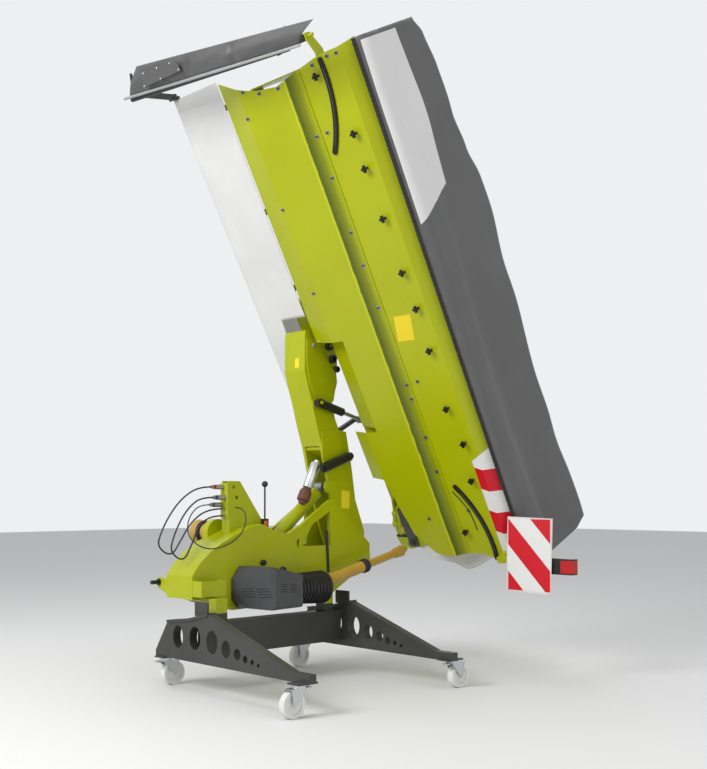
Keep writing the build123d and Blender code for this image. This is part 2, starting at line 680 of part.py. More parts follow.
guard_s = 1850
guard_t = -45
guard_d = 20
with BuildPart() as guard_frame:
    for y, out in [(940, 70), (-412, -40)]:
        with BuildSketch(face_at(y)):
            with Locations((guard_s, guard_t)):
                Circle(22)
            outline([(guard_s - 20, guard_t), (guard_s + 20, guard_t), (guard_s + out + 30, 200),
                     (guard_s + out - 10, 200)])
        extrude(amount=18)
        rod(face_at(y), (guard_s, guard_t), guard_d + running, 18, mode=Mode.SUBTRACT)
    bar(deck_point(1930, 1060, 200), deck_point(1815, -520, 200), 34)
    bar(deck_point(1930, 1040, 200), deck_point(2080, 960, 205), 20)
    bar(deck_point(1820, -500, 200), deck_point(1930, -560, 205), 20)
keep(guard_frame, "guard_frame")

with BuildPart() as guard_cloth:
    slab(deck(217), [(1930, 1060), (2090, 980), (1935, -600), (1815, -520)], 5)
keep(guard_cloth, "guard_cloth")

# Drive and settings on the deck.
with BuildPart() as gearbox:
    block(deck(-140), (-1580, 90), (-1430, 245), 128)
    block(deck(-140), (-1775, 245), (-1450, shaft_y + 38), 40)
    rod(deck(-100), (yoke_s, shaft_y), 60, 14)
    rod(deck(-86), (yoke_s, shaft_y), 38, 14)
    block(deck(-130), (-1430, 120), (-1200, 210), 70)
    rod(deck(-12), (-1505, 208), 68, 10)
keep(gearbox, "gearbox")

with BuildPart() as gearbox_guard:
    slab(deck(-142), [(-1600, 150), (-1600, 445), (-1660, 450), (-1790, 380), (-1790, 60),
                      (-1740, 0)], -gauge)
keep(gearbox_guard, "gearbox_guard")

knobs = [(1619, -441), (1232, -584), (1015, -576), (692, -582), (332, -585), (84, -598),
         (-209, -586), (-629, -560), (-893, -603), (-1176, -561), (-1587, -344)]
# each slotted arm: start, middle, end on the deck
arms = [[(1698, -501), (1440, -486), (1166, -362)], [(-1230, -377), (-1530, -520), (-1803, -534)]]
with BuildPart() as deck_levers:
    for s, y in knobs:
        rod(deck(-46), (s, y), 16, 26)
        rod(deck(-20), (s, y), 26, 18)
        with BuildSketch(deck(-20)):
            with Locations((s - 15, y), (s + 15, y), (s, y - 15), (s, y + 15)):
                Circle(9)
        extrude(amount=14)
    for start, middle, end in arms:
        with BuildSketch(deck(-46)):
            SlotArc(Edge.make_three_point_arc(Vector(*start), Vector(*middle), Vector(*end)), 34)
        extrude(amount=12)
keep(deck_levers, "deck_levers")

# Transport marking beside the inner rear corner.
board_y = -920
arm_s = -1760
arm_t = 40
arm_tip = deck_point(arm_s, 0, arm_t)
board_x = arm_tip.X + plan_x - 54.7
board_z = arm_tip.Z + 41.8
arm_end = board_y - 150
with BuildPart() as board_bracket:
    slab(deck(-46), [(arm_s - 20, -660), (arm_s + 20, -660), (arm_s + 20, -620), (arm_s - 20, -620)],
         arm_t + 66)
    block(face_at(-620), (arm_s - 20, arm_t - 20), (arm_s + 20, arm_t + 20), -620 - arm_end)
    block(side(board_x + 4), (board_y - 60, board_z - 70), (board_y + 60, board_z - 10), 44)
keep(board_bracket, "board_bracket")

with BuildPart() as warning_board:
    with BuildSketch(Plane(origin=site(board_x, board_y, board_z), x_dir=(0, -1, 0), z_dir=(-1, 0, 0))):
        with Locations(Location((0, 0), -1.5)):
            Rectangle(372, 508)
    extrude(amount=-4)
keep(warning_board, "warning_board")

with BuildPart() as tail_lamp:
    block(side(board_x + 15), (arm_end - 185, board_z - 121), (arm_end, board_z - 17), 66)
keep(tail_lamp, "tail_lamp")

# Hydraulic hoses and a cable looped beside the tower, each a fixed length that goes back into the machine.
hose_d = 11
cable_d = 8
# name, thickness, route from the coupler to where it goes in again
cords = [
    ("hose_upper", hose_d, [(-300, 626, 1322), (-400, 626, 1322), (-520, 640, 1255), (-615, 652, 1145),
                            (-684, 660, 1020), (-712, 664, 925), (-604, 656, 855), (-536, 646, 965),
                            (-460, 630, 1090), (-340, 612, 1172), (-219, 612, 1172)]),
    ("hose_lower", hose_d, [(-300, 605, 1250), (-400, 605, 1250), (-500, 598, 1190), (-580, 590, 1096),
                            (-640, 585, 985), (-664, 583, 890), (-556, 588, 822), (-488, 592, 930),
                            (-430, 598, 1050), (-330, 605, 1125), (-219, 605, 1125)]),
    ("sensor_cable", cable_d, [(-300, 640, 1200), (-380, 640, 1200), (-470, 612, 1150), (-530, 582, 1075),
                               (-556, 530, 990), (-520, 470, 930), (-436, 446, 906), (-346, 444, 920),
                               (-256, 444, 950), (-178, 446, 1004), (-128, 452, 1100), (-128, 495, 1180),
                               (-128, 575, 1180)]),
]
for name, thickness, points in cords:
    route = [Vector(*site(*point)) for point in points]
    radii = []
    for before, here, after in zip(route[:-2], route[1:-1], route[2:]):
        turn = (here - before).get_angle(after - here)
        radii.append(0.45 * min((here - before).length, (after - here).length) / tan(radians(turn / 2)))
    print(name, "smallest bend", round(min(radii)), "turns up to", thickness, [round(r) for r in radii])
    with BuildPart() as hose:
        with BuildLine() as path:
            FilletPolyline(*route, radius=radii)
        with BuildSketch(Plane(origin=route[0], z_dir=route[1] - route[0])):
            Circle(thickness / 2)
        sweep()
    print(name, "length", round(path.wires()[0].length))
    keep(hose, name)
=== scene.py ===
import bpy, bmesh, json, math
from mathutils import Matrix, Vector, noise


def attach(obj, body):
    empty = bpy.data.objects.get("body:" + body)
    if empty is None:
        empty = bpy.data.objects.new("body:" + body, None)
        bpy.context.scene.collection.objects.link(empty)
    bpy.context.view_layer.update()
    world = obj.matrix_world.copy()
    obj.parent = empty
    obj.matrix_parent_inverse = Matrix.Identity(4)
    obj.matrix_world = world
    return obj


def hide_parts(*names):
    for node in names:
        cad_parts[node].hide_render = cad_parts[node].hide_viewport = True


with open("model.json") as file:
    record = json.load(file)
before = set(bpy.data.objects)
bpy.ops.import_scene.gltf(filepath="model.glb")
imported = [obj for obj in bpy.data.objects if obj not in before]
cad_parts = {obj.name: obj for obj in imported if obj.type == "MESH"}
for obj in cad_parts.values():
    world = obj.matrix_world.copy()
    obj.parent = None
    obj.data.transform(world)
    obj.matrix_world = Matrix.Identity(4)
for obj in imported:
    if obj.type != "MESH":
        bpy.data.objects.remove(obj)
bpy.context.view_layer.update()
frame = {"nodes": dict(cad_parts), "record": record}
nodes = frame["nodes"]

# Where the mower's own directions lie while it stands folded: along, rearward up, above the hood.
fold = {"lean": 28.5, "origin": (0.45, 2.385), "plan": (0.584755, -0.096885)}
alongDir = Vector((-math.sin(math.radians(fold["lean"])), 0, math.cos(math.radians(fold["lean"]))))
aboveDir = Vector((-math.cos(math.radians(fold["lean"])), 0, -math.sin(math.radians(fold["lean"]))))


def site(x, y, z):
    return Vector((x / 1000 - fold["plan"][0], y / 1000 - fold["plan"][1], z / 1000))


def deckPoint(s, y, t):
    start = Vector((fold["origin"][0] - fold["plan"][0], y / 1000 - fold["plan"][1], fold["origin"][1]))
    return start + alongDir * (s / 1000) + aboveDir * (t / 1000)


class Field:
    # one output socket of a node, usable in plain sums
    def __init__(self, paint, socket):
        self.paint = paint
        self.socket = socket

    def sum(self, operation, first, second):
        return self.paint.field("ShaderNodeMath", {"operation": operation}, {0: first, 1: second})

    def __add__(self, other): return self.sum("ADD", self, other)
    def __radd__(self, other): return self.sum("ADD", other, self)
    def __sub__(self, other): return self.sum("SUBTRACT", self, other)
    def __rsub__(self, other): return self.sum("SUBTRACT", other, self)
    def __mul__(self, other): return self.sum("MULTIPLY", self, other)
    def __rmul__(self, other): return self.sum("MULTIPLY", other, self)
    def __truediv__(self, other): return self.sum("DIVIDE", self, other)
    def __gt__(self, other): return self.sum("GREATER_THAN", self, other)
    def __lt__(self, other): return self.sum("LESS_THAN", self, other)


class Paint:
    # one material, its shader and the nodes that feed it
    def __init__(self, name, **fixed):
        self.material = bpy.data.materials.new(name)
        self.material.use_nodes = True
        self.tree = self.material.node_tree
        self.shader = self.tree.nodes["Principled BSDF"]
        for socket, value in fixed.items():
            self.shader.inputs[socket.replace("_", " ")].default_value = value

    def feed(self, socket, value):
        if isinstance(value, Field):
            self.tree.links.new(value.socket, socket)
        else:
            socket.default_value = value

    def field(self, kind, settings, inputs, output=0):
        made = self.tree.nodes.new(kind)
        for key, value in settings.items():
            if key == "stops":
                while len(made.color_ramp.elements) < len(value):
                    made.color_ramp.elements.new(0.5)
                for element, (place, colour) in zip(made.color_ramp.elements, value):
                    element.position = place
                    element.color = colour
            else:
                setattr(made, key, value)
        for key, value in inputs.items():
            self.feed(made.inputs[key], value)
        return Field(self, made.outputs[output])

    def place(self, kind="Object"):
        return self.field("ShaderNodeTexCoord", {}, {}, kind)

    def grain(self, scale, detail=3, rough=0.5, where=None):
        return self.field("ShaderNodeTexNoise", {},
                          {"Vector": where or self.place(), "Scale": scale, "Detail": detail,
                           "Roughness": rough}, "Fac")

    def ramp(self, value, low, high, out=(0, 1)):
        return self.field("ShaderNodeMapRange", {},
                          {"Value": value, "From Min": low, "From Max": high, "To Min": out[0],
                           "To Max": out[1]})

    def mix(self, share, first, second):
        made = self.tree.nodes.new("ShaderNodeMix")
        made.data_type = "RGBA"
        self.feed(made.inputs[0], share)
        self.feed(made.inputs[6], first)
        self.feed(made.inputs[7], second)
        return Field(self, made.outputs[2])

    def part(self, value):
        return self.field("ShaderNodeMath", {"operation": "FRACT"}, {0: value})

    def axes(self, where=None):
        split = self.tree.nodes.new("ShaderNodeSeparateXYZ")
        self.feed(split.inputs[0], where or self.place())
        return [Field(self, output) for output in split.outputs]

    def bump(self, height, strength, distance):
        self.feed(self.shader.inputs["Normal"],
                  self.field("ShaderNodeBump", {}, {"Strength": strength, "Distance": distance,
                                                    "Height": height}))

    def set(self, socket, value):
        self.feed(self.shader.inputs[socket], value)
        return self


def colour(red, green, blue):
    return tuple(((c / 255 + 0.055) / 1.055) ** 2.4 if c > 10 else c / 255 / 12.92
                 for c in (red, green, blue)) + (1,)


def paintedSteel(name, body, shade, dust, rough=0.34, coat=0.16, cover=None):
    paint = Paint(name, Coat_Roughness=0.1, Specular_IOR_Level=0.3)
    broad = paint.grain(1.3, 4)
    fine = paint.grain(38, 3)
    grimeAndShade = paint.ramp(paint.grain(7, 6, 0.65), 0.6, 0.8)
    tone = paint.mix(paint.ramp(broad, 0.35, 0.7), body, shade)
    tone = paint.mix(grimeAndShade * 0.28, tone, dust)
    if cover:
        tone = cover(paint, tone)
    paint.set("Base Color", tone)
    paint.set("Roughness", paint.ramp(fine, 0.3, 0.7, (rough - 0.04, rough + 0.08)) + grimeAndShade * 0.15)
    paint.set("Coat Weight", coat * (1 - grimeAndShade))
    paint.bump(paint.grain(420, 2), 0.1, 0.0006)
    return paint.material


def metal(name, base, rough, scratch=0.5):
    paint = Paint(name, Metallic=0.9)
    streak = paint.grain(60, 5, 0.6)
    spots = paint.ramp(paint.grain(9, 6, 0.6), 0.5, 0.8)
    paint.set("Base Color", paint.mix(spots * scratch, base, tuple(c * 0.55 for c in base[:3]) + (1,)))
    paint.set("Roughness", paint.ramp(streak, 0.3, 0.7, (rough, rough + 0.16)))
    paint.bump(paint.grain(260, 3), 0.15, 0.0005)
    return paint.material


def moulded(name, base, rough, grainSize=700, depth=0.25, cover=None):
    paint = Paint(name)
    spots = paint.ramp(paint.grain(5, 5, 0.6), 0.45, 0.8)
    tone = paint.mix(spots * 0.5, base, tuple(min(1, c * 1.5 + 0.008) for c in base[:3]) + (1,))
    if cover:
        tone = cover(paint, tone)
    paint.set("Base Color", tone)
    paint.set("Roughness", paint.ramp(paint.grain(25, 3), 0.3, 0.7, (rough, rough + 0.12)))
    paint.bump(paint.grain(grainSize, 2), depth, 0.0005)
    return paint.material


def coatedCloth(name, base, rough, cover=None, crease=0.35):
    # coated tarpaulin: a fine weave under a glossy skin, soft wrinkles and dusty streaks
    paint = Paint(name, Sheen_Weight=0.1, Specular_IOR_Level=0.45)
    threads = {"Scale": 260.0, "Distortion": 0.4}
    weave, cross = (paint.field("ShaderNodeTexWave", {"bands_direction": way},
                                {"Vector": paint.place(), **threads}, "Fac") for way in "ZY")
    streak = paint.ramp(paint.grain(3.2, 6, 0.6), 0.45, 0.8)
    tone = paint.mix(streak * 0.25, base, tuple(min(1, c * 1.35 + 0.02) for c in base[:3]) + (1,))
    if cover:
        tone = cover(paint, tone)
    paint.set("Base Color", tone)
    paint.set("Roughness", paint.ramp(paint.grain(9, 4), 0.3, 0.7, (rough, rough + 0.14)))
    wrinkle = paint.grain(5.5, 3, 0.45)
    paint.bump(wrinkle * crease + (weave + cross) * 0.012, 0.6, 0.012)
    return paint.material


def deckAxes(paint):
    # along the mower, across it, and above the hood
    where = paint.place()
    start = deckPoint(0, 0, 0)
    measures = [paint.field("ShaderNodeVectorMath", {"operation": "DOT_PRODUCT"},
                            {0: where, 1: tuple(way)}, "Value") - start.dot(way)
                for way in (alongDir, aboveDir)]
    across = paint.axes(where)[1] - start.y
    return measures[0], across, measures[1]


def between(value, low, high):
    return (value > low) * (value < high)


# Warning stripes: their colours, and how far apart they lie and how steep on the hood and on the board.
foil = {"red": colour(206, 10, 34), "white": colour(226, 226, 224), "boardWhite": colour(228, 228, 226)}
hoodStripes = {"pitch": 0.334, "slope": 0.36, "start": -1.083}
boardStripes = {"pitch": 0.36, "start": 0.005, "width": 0.372, "height": 0.508, "border": 0.012}


def stripeCover(paint, tone):
    along, across, above = deckAxes(paint)
    band = paint.part((along - (across + 0.605) * hoodStripes["slope"] - hoodStripes["start"])
                      / hoodStripes["pitch"])
    # painted shade: the rear hood darkens towards the groove, continuing the groove's painted shade
    tone = paint.mix(paint.ramp(across, -0.3, -0.235) * 0.5, tone, colour(60, 76, 0))
    area = (across < -0.603) * (along + (across + 0.618) * 0.52 < -1.026) * (along > -1.846)
    striped = paint.mix(band < 0.5, foil["red"], foil["white"])
    label = between(along, -0.13, 0.056) * between(across + along * 0.2, -0.502, -0.342)
    border = between(along, -0.124, 0.05) * between(across + along * 0.2, -0.496, -0.348)
    tone = paint.mix(label, tone, paint.mix(border, colour(196, 168, 10), colour(232, 208, 30)))
    return paint.mix(area, tone, striped)


def grooveCover(paint, tone):
    # painted shade in the groove behind the front panel's lip, fading towards the deck, and a painted
    # highlight along the lip
    along, across, above = deckAxes(paint)
    wander = across + (paint.grain(14, 3) - 0.5) * 0.012
    # painted shade, darkest at the groove
    grimeAndShade = paint.ramp(wander, -0.305, -0.205) * (wander < -0.192)
    # painted highlight: a lighter band along the lip
    lipHighlight = between(across, -0.19, -0.176)
    tone = paint.mix(lipHighlight * 0.5, tone, colour(196, 208, 40))
    return paint.mix(grimeAndShade * 0.8, tone, colour(38, 58, 0))


def boardCover(paint, tone):
    x, y, z = paint.axes()
    centre = site(1202, -920, 861)
    right = centre.y + 0.186 - y
    down = centre.z + 0.254 - z
    band = paint.part((right - down - boardStripes["start"]) / boardStripes["pitch"] + 4)
    border = boardStripes["border"]
    inside = between(right, border, boardStripes["width"] - border)
    edge = 1 - inside * between(down, border, boardStripes["height"] - border)
    striped = paint.mix(band < 0.5, foil["red"], foil["boardWhite"])
    return paint.mix(edge * 0.85, striped, colour(220, 214, 212))


def curtainCover(paint, tone):
    # the white printed panel, cut off slantwise below and slightly curved at its foot
    along, across, above = deckAxes(paint)
    foot = -0.45 - (along - 1.1) * (along - 1.1) * -0.12
    panel = (above > foot) * (along + above * 0.5 > 0.53) * (along < 1.715)
    return paint.mix(panel * (above < -0.112), tone, foil["white"])


def lampCover(paint, tone):
    x, y, z = paint.axes()
    lens = (y < site(0, -1165, 0).y) * between(z, 0.75, 0.834)
    return paint.mix(lens, colour(26, 24, 24), tone)


limeTones = (colour(172, 180, 0), colour(164, 172, 0), colour(140, 144, 16))
lime = paintedSteel("limePaint", *limeTones)
limeStriped = paintedSteel("limeStriped", *limeTones, cover=stripeCover)
limeGrooved = paintedSteel("limeGrooved", *limeTones, cover=grooveCover)
standGrey = paintedSteel("standPaint", colour(66, 66, 63), colour(54, 54, 52), colour(84, 83, 79), 0.45, 0.1)
blackPaint = paintedSteel("blackPaint", colour(30, 30, 31), colour(24, 24, 25), colour(56, 56, 54), 0.36,
                          0.15)
steel = metal("brushedSteel", colour(165, 165, 165), 0.3)
zinc = metal("zincPlate", colour(200, 202, 204), 0.26, 0.3)
darkBolt = metal("darkBolt", colour(92, 92, 88), 0.4, 0.5)
darkPlastic = moulded("darkPlastic", colour(66, 67, 69), 0.38)
blackPlastic = moulded("blackPlastic", colour(28, 28, 29), 0.38)
blackRubber = moulded("blackRubber", colour(24, 24, 25), 0.55, 300, 0.4)
hoseRubber = moulded("hoseRubber", colour(30, 30, 31), 0.42, 500, 0.3)
yellowPlastic = moulded("yellowPlastic", colour(178, 142, 52), 0.36)
wheelWhite = moulded("wheelTread", colour(218, 218, 214), 0.45)
redLens = moulded("redLens", colour(176, 12, 20), 0.12)
lampMix = moulded("lampHousing", colour(178, 16, 14), 0.16, cover=lampCover)
stripeFoil = moulded("stripeFoil", foil["red"], 0.28, cover=boardCover)
gripBlue = moulded("gripBlue", colour(16, 40, 120), 0.35)
rustBrown = moulded("rustBrown", colour(96, 58, 44), 0.5)
gripGreen = moulded("gripGreen", colour(20, 96, 60), 0.35)
orangePlastic = moulded("orangePlastic", colour(206, 110, 20), 0.4)
labelYellow = moulded("labelYellow", colour(236, 214, 30), 0.4)
curtainCloth = coatedCloth("curtainCloth", colour(92, 92, 92), 0.3, cover=curtainCover)
apronCloth = coatedCloth("apronCloth", colour(214, 214, 212), 0.42, crease=0.2)
guardCloth = coatedCloth("guardCloth", colour(84, 84, 84), 0.3)

bySlot = {"lime": lime, "stand_grey": standGrey, "black_paint": blackPaint, "steel": steel,
          "zinc": zinc, "dark_grey": darkPlastic, "black": blackPlastic, "yellow": yellowPlastic,
          "wheel_white": wheelWhite, "red_lens": lampMix, "white_cloth": apronCloth,
          "grey_cloth": guardCloth, "board": stripeFoil, "hose": hoseRubber}
slotOf = {entry["node"]: entry["material_slot"] for entry in frame["record"]["subparts"]}
for name, node in nodes.items():
    node.data.materials.clear()
    node.data.materials.append(bySlot[slotOf[name]])
nodes["hood_rear"].data.materials[0] = limeStriped
nodes["hood_front"].data.materials[0] = limeGrooved
print("materials on", len(nodes), "solids")


# Cloth guards. Each starts as a grid in the mower's own directions.
def meshPiece(name, points, faces, material, body, smooth=True):
    mesh = bpy.data.meshes.new(name)
    mesh.from_pydata([tuple(point) for point in points], [], faces)
    mesh.validate()
    mesh.update()
    made = bpy.data.objects.new(name, mesh)
    bpy.context.collection.objects.link(made)
    mesh.materials.append(material)
    mesh.polygons.foreach_set("use_smooth", [smooth] * len(mesh.polygons))
    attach(made, body)
    return made


def gridFaces(columns, rows, keep=lambda i, j: True):
    return [(i * rows + j, (i + 1) * rows + j, (i + 1) * rows + j + 1, i * rows + j + 1)
            for i in range(columns - 1) for j in range(rows - 1) if keep(i, j)]


def follow(points, share):
    # point on a smooth line through the given points, by share of its length
    lengths = [0]
    for before, after in zip(points[:-1], points[1:]):
        lengths.append(lengths[-1] + math.dist(before, after))
    reach = share * lengths[-1]
    k = next((n for n in range(1, len(points)) if lengths[n] >= reach - 1e-9), len(points) - 1)
    local = (reach - lengths[k - 1]) / (lengths[k] - lengths[k - 1])
    a, b, c, d = (points[max(0, min(len(points) - 1, n))] for n in (k - 2, k - 1, k, k + 1))
    return [0.5 * (2 * q + (r - p) * local + (2 * p - 5 * q + 4 * r - e) * local ** 2
                   + (3 * q - p - 3 * r + e) * local ** 3) for p, q, r, e in zip(a, b, c, d)]


def thicken(thing, metres, offset=0):
    shell = thing.modifiers.new("cloth", "SOLIDIFY")
    shell.thickness = metres
    shell.offset = offset


curtain = {"from": -1905, "to": 1742, "columns": 150, "rows": 30, "gauge": 0.003,
           # across, above: how the cloth leaves the hood's rear edge and hangs
           "section": [(-745, -92), (-776, -104), (-806, -150), (-812, -215), (-806, -330), (-818, -470),
                       (-838, -620), (-850, -745)],
           # along, depth of the foot
           "foot": [(-1905, -600), (-1856, -715), (-1480, -712), (-1120, -685), (-560, -688), (30, -708),
                    (460, -752), (700, -748), (900, -706), (1150, -655), (1430, -640), (1634, -615),
                    (1742, -560)]}


def footDepth(along):
    stations = curtain["foot"]
    for (s0, t0), (s1, t1) in zip(stations[:-1], stations[1:]):
        if along <= s1:
            share = (along - s0) / (s1 - s0)
            share = share * share * (3 - 2 * share)
            return t0 + (t1 - t0) * share
    return stations[-1][1]


def hangCurtain():
    points = []
    for i in range(curtain["columns"]):
        along = curtain["from"] + (curtain["to"] - curtain["from"]) * i / (curtain["columns"] - 1)
        depth = footDepth(along)
        for j in range(curtain["rows"]):
            down = j / (curtain["rows"] - 1)
            across, above = follow(curtain["section"], down)
            above = -92 + (above + 92) * (depth + 92) / (-745 + 92)
            wave = down * (11 * math.sin(along / 260 + 2.2 * down) + 9 * math.sin(along / 118 - 3 * down)
                           + 13 * noise.noise(Vector((along / 330, down * 2.2, 0.4))))
            ridge = 9 * math.exp(-((down - 0.33 - 0.03 * math.sin(along / 500)) / 0.06) ** 2)
            pull = 40 * max(0, (-along - 1500) / 400) ** 2 * down
            points.append(deckPoint(along + pull, across - wave * 0.8 - ridge * down * 2,
                                    above + wave * 0.25))
    return points


rearCurtain = meshPiece("rearCurtain", hangCurtain(), gridFaces(curtain["columns"], curtain["rows"]),
                        curtainCloth, "mower")
thicken(rearCurtain, curtain["gauge"])
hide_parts("rear_curtain")

apron = {"from": -902, "to": 1828, "columns": 130, "rows": 34, "gauge": 0.003,
         "section": [(480, -56), (640, -57), (800, -57), (930, -58), (972, -66), (986, -98), (996, -240),
                     (1004, -430)]}


def hangApron():
    points = []
    for i in range(apron["columns"]):
        along = apron["from"] + (apron["to"] - apron["from"]) * i / (apron["columns"] - 1)
        for j in range(apron["rows"]):
            down = j / (apron["rows"] - 1)
            across, above = follow(apron["section"], down)
            sag = math.sin(math.pi * min(1, down / 0.58))
            wave = (7 * noise.noise(Vector((along / 420, down * 3, 2.1)))
                    + 3 * math.sin(along / 150 + 4 * down))
            hem = max(0, down - 0.6) * 14 * math.sin(along / 190)
            points.append(deckPoint(along, across + hem, above - 6 * sag + wave * sag))
    return points


notch = {"along": 150, "across": 742}
apronStep = (apron["to"] - apron["from"]) / (apron["columns"] - 1)
frontApron = meshPiece(
    "frontApron", hangApron(),
    gridFaces(apron["columns"], apron["rows"],
              lambda i, j: apron["from"] + i * apronStep > notch["along"]
              or follow(apron["section"], j / (apron["rows"] - 1))[0] > notch["across"]),
    apronCloth, "mower")
thicken(frontApron, apron["gauge"])
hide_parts("front_cloth")

# Outer guard: cloth folded over its bar, bulging where it is packed against the fold.
guard = {"columns": 90, "rows": 22, "gauge": 0.003,
         # along, across, above at both ends of the bar side and of the free side
         "bar": [(1946, 1050, 222), (1806, -620, 222)], "free": [(2102, 850, 222), (1900, -800, 222)]}


def foldGuard():
    points = []
    for i in range(guard["columns"]):
        run = i / (guard["columns"] - 1)
        start = [a + (b - a) * run for a, b in zip(*guard["bar"])]
        end = [a + (b - a) * run for a, b in zip(*guard["free"])]
        for j in range(guard["rows"]):
            width = j / (guard["rows"] - 1)
            along, across, above = (a + (b - a) * width for a, b in zip(start, end))
            arch = math.sin(math.pi * width)
            bulge = 46 * arch * (0.4 + 0.6 * math.exp(-((run - 0.78) / 0.17) ** 2))
            crease = -20 * math.exp(-((run - 0.58 - 0.10 * (1 - width)) / 0.02) ** 2) * arch
            crease -= 14 * math.exp(-((run - 0.40 + 0.07 * width) / 0.016) ** 2) * arch
            tuck = -22 * math.exp(-((run - 0.86) / 0.07) ** 2) * math.exp(-((width - 0.25) / 0.2) ** 2)
            ripple = 10 * noise.noise(Vector((run * 9, width * 2.5, 5.2))) * arch
            points.append(deckPoint(along + tuck * 0.6, across, above + bulge + crease + ripple + tuck * 0.4))
    return points


outerGuard = meshPiece("outerGuard", foldGuard(), gridFaces(guard["columns"], guard["rows"]), guardCloth,
                       "outer_guard")
thicken(outerGuard, guard["gauge"])
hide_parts("guard_cloth")

# Hydraulic hoses and the sensor cable.
cords = {
    "hoseUpper": {"node": "hose_upper", "diameter": 0.011, "length": 1.25, "stiffness": "stiff", "points": [
        (-300, 626, 1322), (-400, 626, 1322), (-520, 640, 1255), (-615, 652, 1145), (-684, 660, 1020),
        (-712, 664, 925), (-604, 656, 855), (-536, 646, 965), (-460, 630, 1090), (-340, 612, 1172),
        (-219, 612, 1172)]},
    "hoseLower": {"node": "hose_lower", "diameter": 0.011, "length": 1.14, "stiffness": "stiff", "points": [
        (-300, 605, 1250), (-400, 605, 1250), (-500, 598, 1190), (-580, 590, 1096), (-640, 585, 985),
        (-664, 583, 890), (-556, 588, 822), (-488, 592, 930), (-430, 598, 1050), (-330, 605, 1125),
        (-219, 605, 1125)]},
    "sensorCable": {"node": "sensor_cable", "diameter": 0.008, "length": 1.1, "stiffness": "medium",
                    "points": [
        (-300, 640, 1200), (-380, 640, 1200), (-470, 612, 1150), (-530, 582, 1075), (-556, 530, 990),
        (-520, 470, 930), (-436, 446, 906), (-346, 444, 920), (-256, 444, 950), (-178, 446, 1004),
        (-128, 452, 1100), (-128, 495, 1180), (-128, 575, 1180)]}}
for name, facts in cords.items():
    line = bpy.data.curves.new(name, "CURVE")
    line.dimensions = "3D"
    line.bevel_depth = facts["diameter"] / 2
    line.bevel_resolution = 4
    line.resolution_u = 10
    spline = line.splines.new("NURBS")
    spline.points.add(len(facts["points"]) - 1)
    for point, place in zip(spline.points, facts["points"]):
        point.co = (*site(*place), 1)
    spline.order_u = 3
    spline.use_endpoint_u = True
    hose = bpy.data.objects.new(name, line)
    bpy.context.collection.objects.link(hose)
    line.materials.append(hoseRubber)
    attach(hose, "base")
    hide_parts(facts["node"])
    site(*facts["points"][0])
print("cords laid")


# Fasteners and trim of the hood.
def ring(centre, axis, radius, count, turn=0.0):
    side = axis.orthogonal().normalized()
    other = axis.cross(side).normalized()
    return [centre + side * radius * math.cos(turn + 2 * math.pi * k / count)
            + other * radius * math.sin(turn + 2 * math.pi * k / count) for k in range(count)]


def turned(points, faces, centre, axis, outline, count):
    # adds a round piece: outline is (radius, height along the axis) from its foot to its top
    first = len(points)
    for radius, height in outline:
        points.extend(ring(centre + axis * height, axis, max(radius, 0.0002), count))
    for level in range(len(outline) - 1):
        for k in range(count):
            a = first + level * count + k
            b = first + level * count + (k + 1) % count
            faces.append((a, b, b + count, a + count))
    faces.append(tuple(first + (len(outline) - 1) * count + k for k in range(count)))
    faces.append(tuple(first + k for k in reversed(range(count))))


def boltField(name, seats, axis, size, body, head, washer):
    points, faces = [], []
    for seat in seats:
        turned(points, faces, seat, axis, [(size * 1.15, 0), (size * 1.15, size * 0.16)], 16)
    meshPiece(name + "Washers", points, faces, washer, body, False)
    points, faces = [], []
    for seat in seats:
        turned(points, faces, seat + axis * size * 0.16, axis,
               [(size * 0.78, 0), (size * 0.78, size * 0.42), (size * 0.62, size * 0.52)], 6)
    meshPiece(name, points, faces, head, body, False)


hoodBolts = {"size": 0.0135,
             # along, across, above of each head
             "groove": [(1288, -262, -39), (1019, -265, -39), (655, -258, -39), (428, -262, -39),
                        (131, -262, -39), (-435, -272, -39), (-540, -268, -39), (-836, -272, -39),
                        (-1104, -262, -39)],
             "panel": [(-1468, -65, 1), (1538, 246, 1), (919, 239, 1), (320, 246, 1), (1640, -120, 1),
                       (1655, 60, 1), (1700, 200, 1)],
             "rear": [(1700, -640, -45), (1704, -560, -45), (1688, -420, -45), (1290, -350, -45),
                      (-420, -370, -45), (-1420, -420, -45)]}
hoodSeats = hoodBolts["groove"] + hoodBolts["panel"] + hoodBolts["rear"]
boltField("hoodBolts", [deckPoint(*seat) for seat in hoodSeats], aboveDir, hoodBolts["size"], "mower",
          darkBolt, zinc)


def panel(name, corners, way, gauge, material, body, slotName=None, edge=0.0008):
    # a plate with the given outline, gauge metres thick on the side that way points to
    count = len(corners)
    points = [Vector(corner) for corner in corners] + [Vector(corner) + way * gauge for corner in corners]
    faces = [tuple(range(count)), tuple(reversed(range(count, 2 * count)))]
    faces += [(k, k + count, (k + 1) % count + count, (k + 1) % count) for k in range(count)]
    made = meshPiece(name, points, faces, material, body, False)
    kit = bmesh.new()
    kit.from_mesh(made.data)
    bmesh.ops.recalc_face_normals(kit, faces=kit.faces)
    kit.to_mesh(made.data)
    kit.free()
    softened = made.modifiers.new("edge", "BEVEL")
    softened.width = edge
    softened.segments = 2
    return made


def lathe(name, centre, axis, outline, material, body, count=40):
    points, faces = [], []
    turned(points, faces, centre, axis.normalized(), outline, count)
    made = meshPiece(name, points, faces, material, body)
    made.data.set_sharp_from_angle(angle=math.radians(32))
    return made


